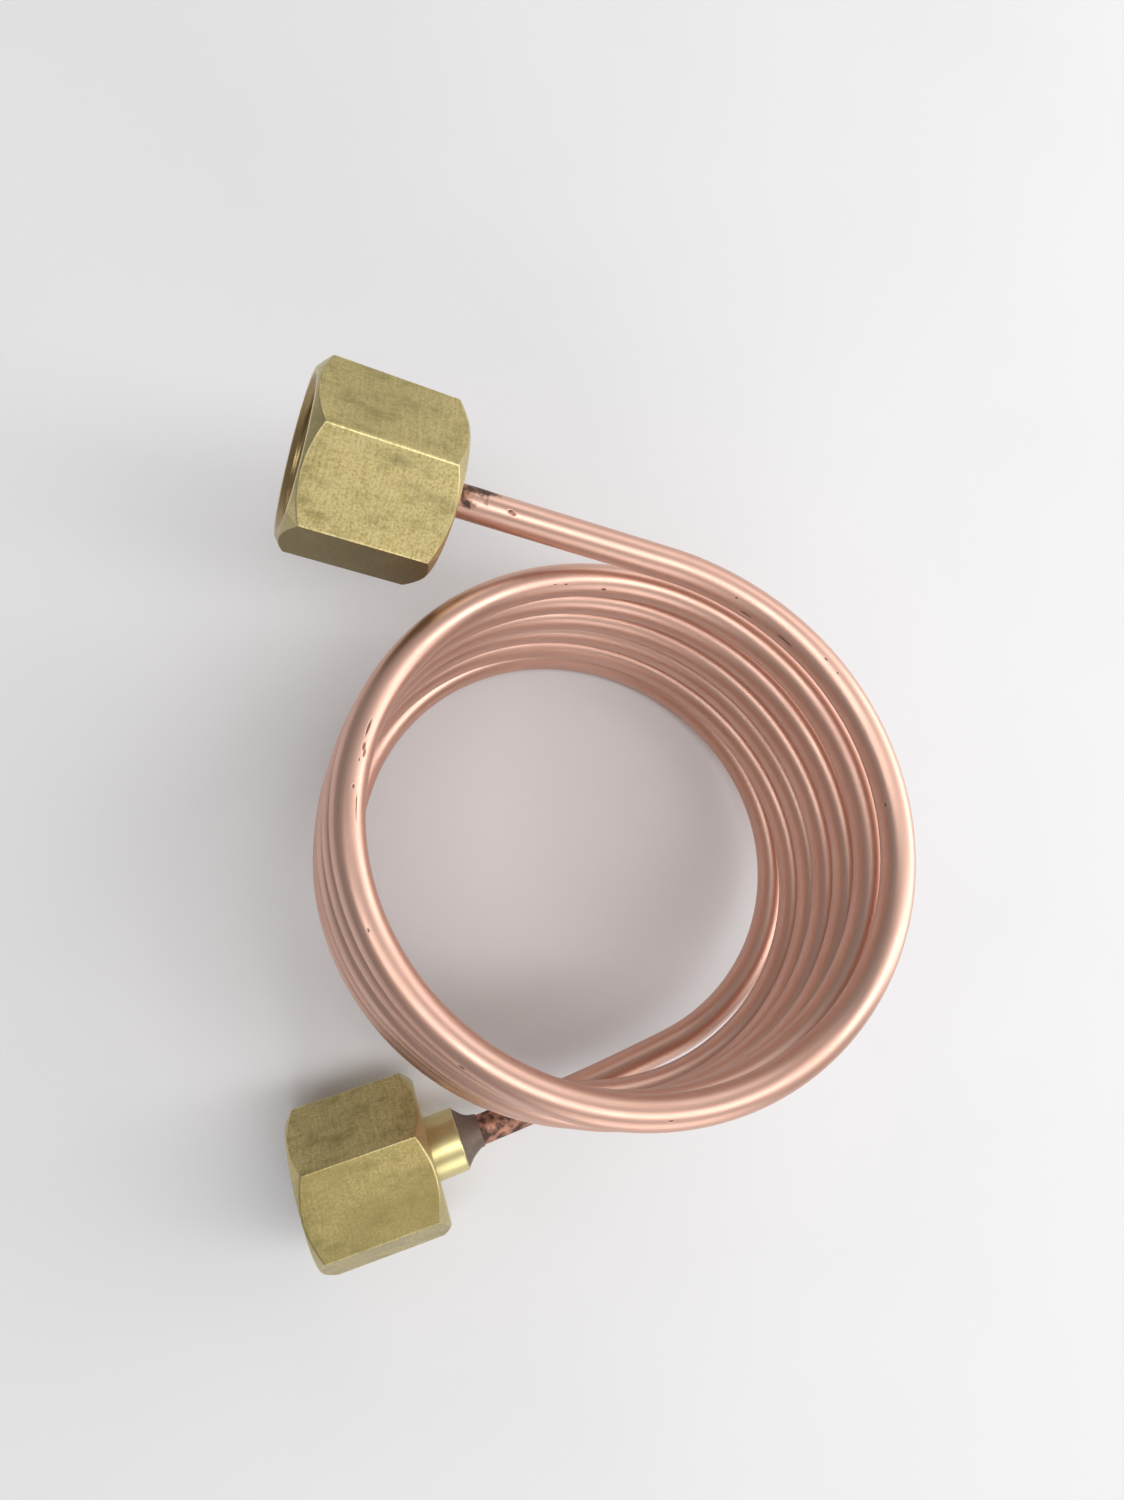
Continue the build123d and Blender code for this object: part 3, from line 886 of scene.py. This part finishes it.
def make_lights():
    """Strip of skylight above the coil, low windows on its right, pale walls and the room's glow.

    The camera sees a pale room, and the part is lit by a dimmer one.
    """
    for panel in LIGHTS:
        area_light(*panel)
    world = bpy.data.worlds.new("room")
    bpy.context.scene.world = world
    world.use_nodes = True
    tree = world.node_tree
    seen = add(tree, "LightPath", {}, out="Is Camera Ray")
    glow = add(tree, "Math", {0: seen, 1: SEEN_GLOW, 2: ROOM_GLOW}, operation="MULTIPLY_ADD")
    background = tree.nodes["Background"]
    background.inputs["Color"].default_value = linear("#FFFFFF")
    tree.links.new(glow, background.inputs["Strength"])


def make_camera():
    """Camera at the photograph's place, with the long side of its sensor upright in the picture."""
    lens = bpy.data.cameras.new("camera")
    lens.sensor_width = SENSOR
    lens.lens = SENSOR * FOCAL_PIXELS / PICTURE_HEIGHT
    lens.clip_start = 10 * MM
    camera = bpy.data.objects.new("camera", lens)
    bpy.context.scene.collection.objects.link(camera)
    back = Vector(-CAMERA_FORWARD).normalized()
    right = Vector(CAMERA_UP).cross(back).normalized()
    up = back.cross(right)
    turn = Matrix((right, up, back)).transposed()
    camera.matrix_world = Matrix.Translation(Vector(CAMERA_PLACE) * MM) @ turn.to_4x4()
    bpy.context.scene.camera = camera


def dress(piece, node, body, material):
    """Piece that stands for a CAD node, rides on its body and wears a material."""
    piece.data.materials.append(material)
    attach(piece, body)
    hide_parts(node)


joints = {
    joint["name"]: (np.array(joint["pos_m"]) / MM, np.array(joint["axis"], dtype=float))
    for joint in frame["joints"]
}
copper = drawn_copper()
bar = tarnished_brass()
lathe_brass = turned_brass()
filler = scaled_braze()
line, upper_out, lower_out = tube_line(joints)
dress(tube_surface(line), "copper_tube", "coil", copper)
ends = {
    "upper": (line[0], upper_out, UPPER_SWING, UPPER_WEAR),
    "lower": (line[-1], lower_out, LOWER_SWING, LOWER_WEAR),
}
for side, (end, outward, swing, wear) in ends.items():
    seat = tail_seat(end, outward)
    dress(tail_surface("turned_" + side + "_tail", seat), side + "_tail", "coil", lathe_brass)
    dress(braze_surface("oxidised_" + side + "_braze", seat), side + "_braze", "coil", filler)
    joint = joints[side + "_nut_spin"]
    nut = nut_surface("hexagon_" + side + "_nut", nut_seat(joint, seat[1], swing), wear)
    dress(nut, side + "_nut", side + "_union", bar)

make_stage()
make_lights()
make_camera()
bpy.context.scene.view_settings.view_transform = "Standard"
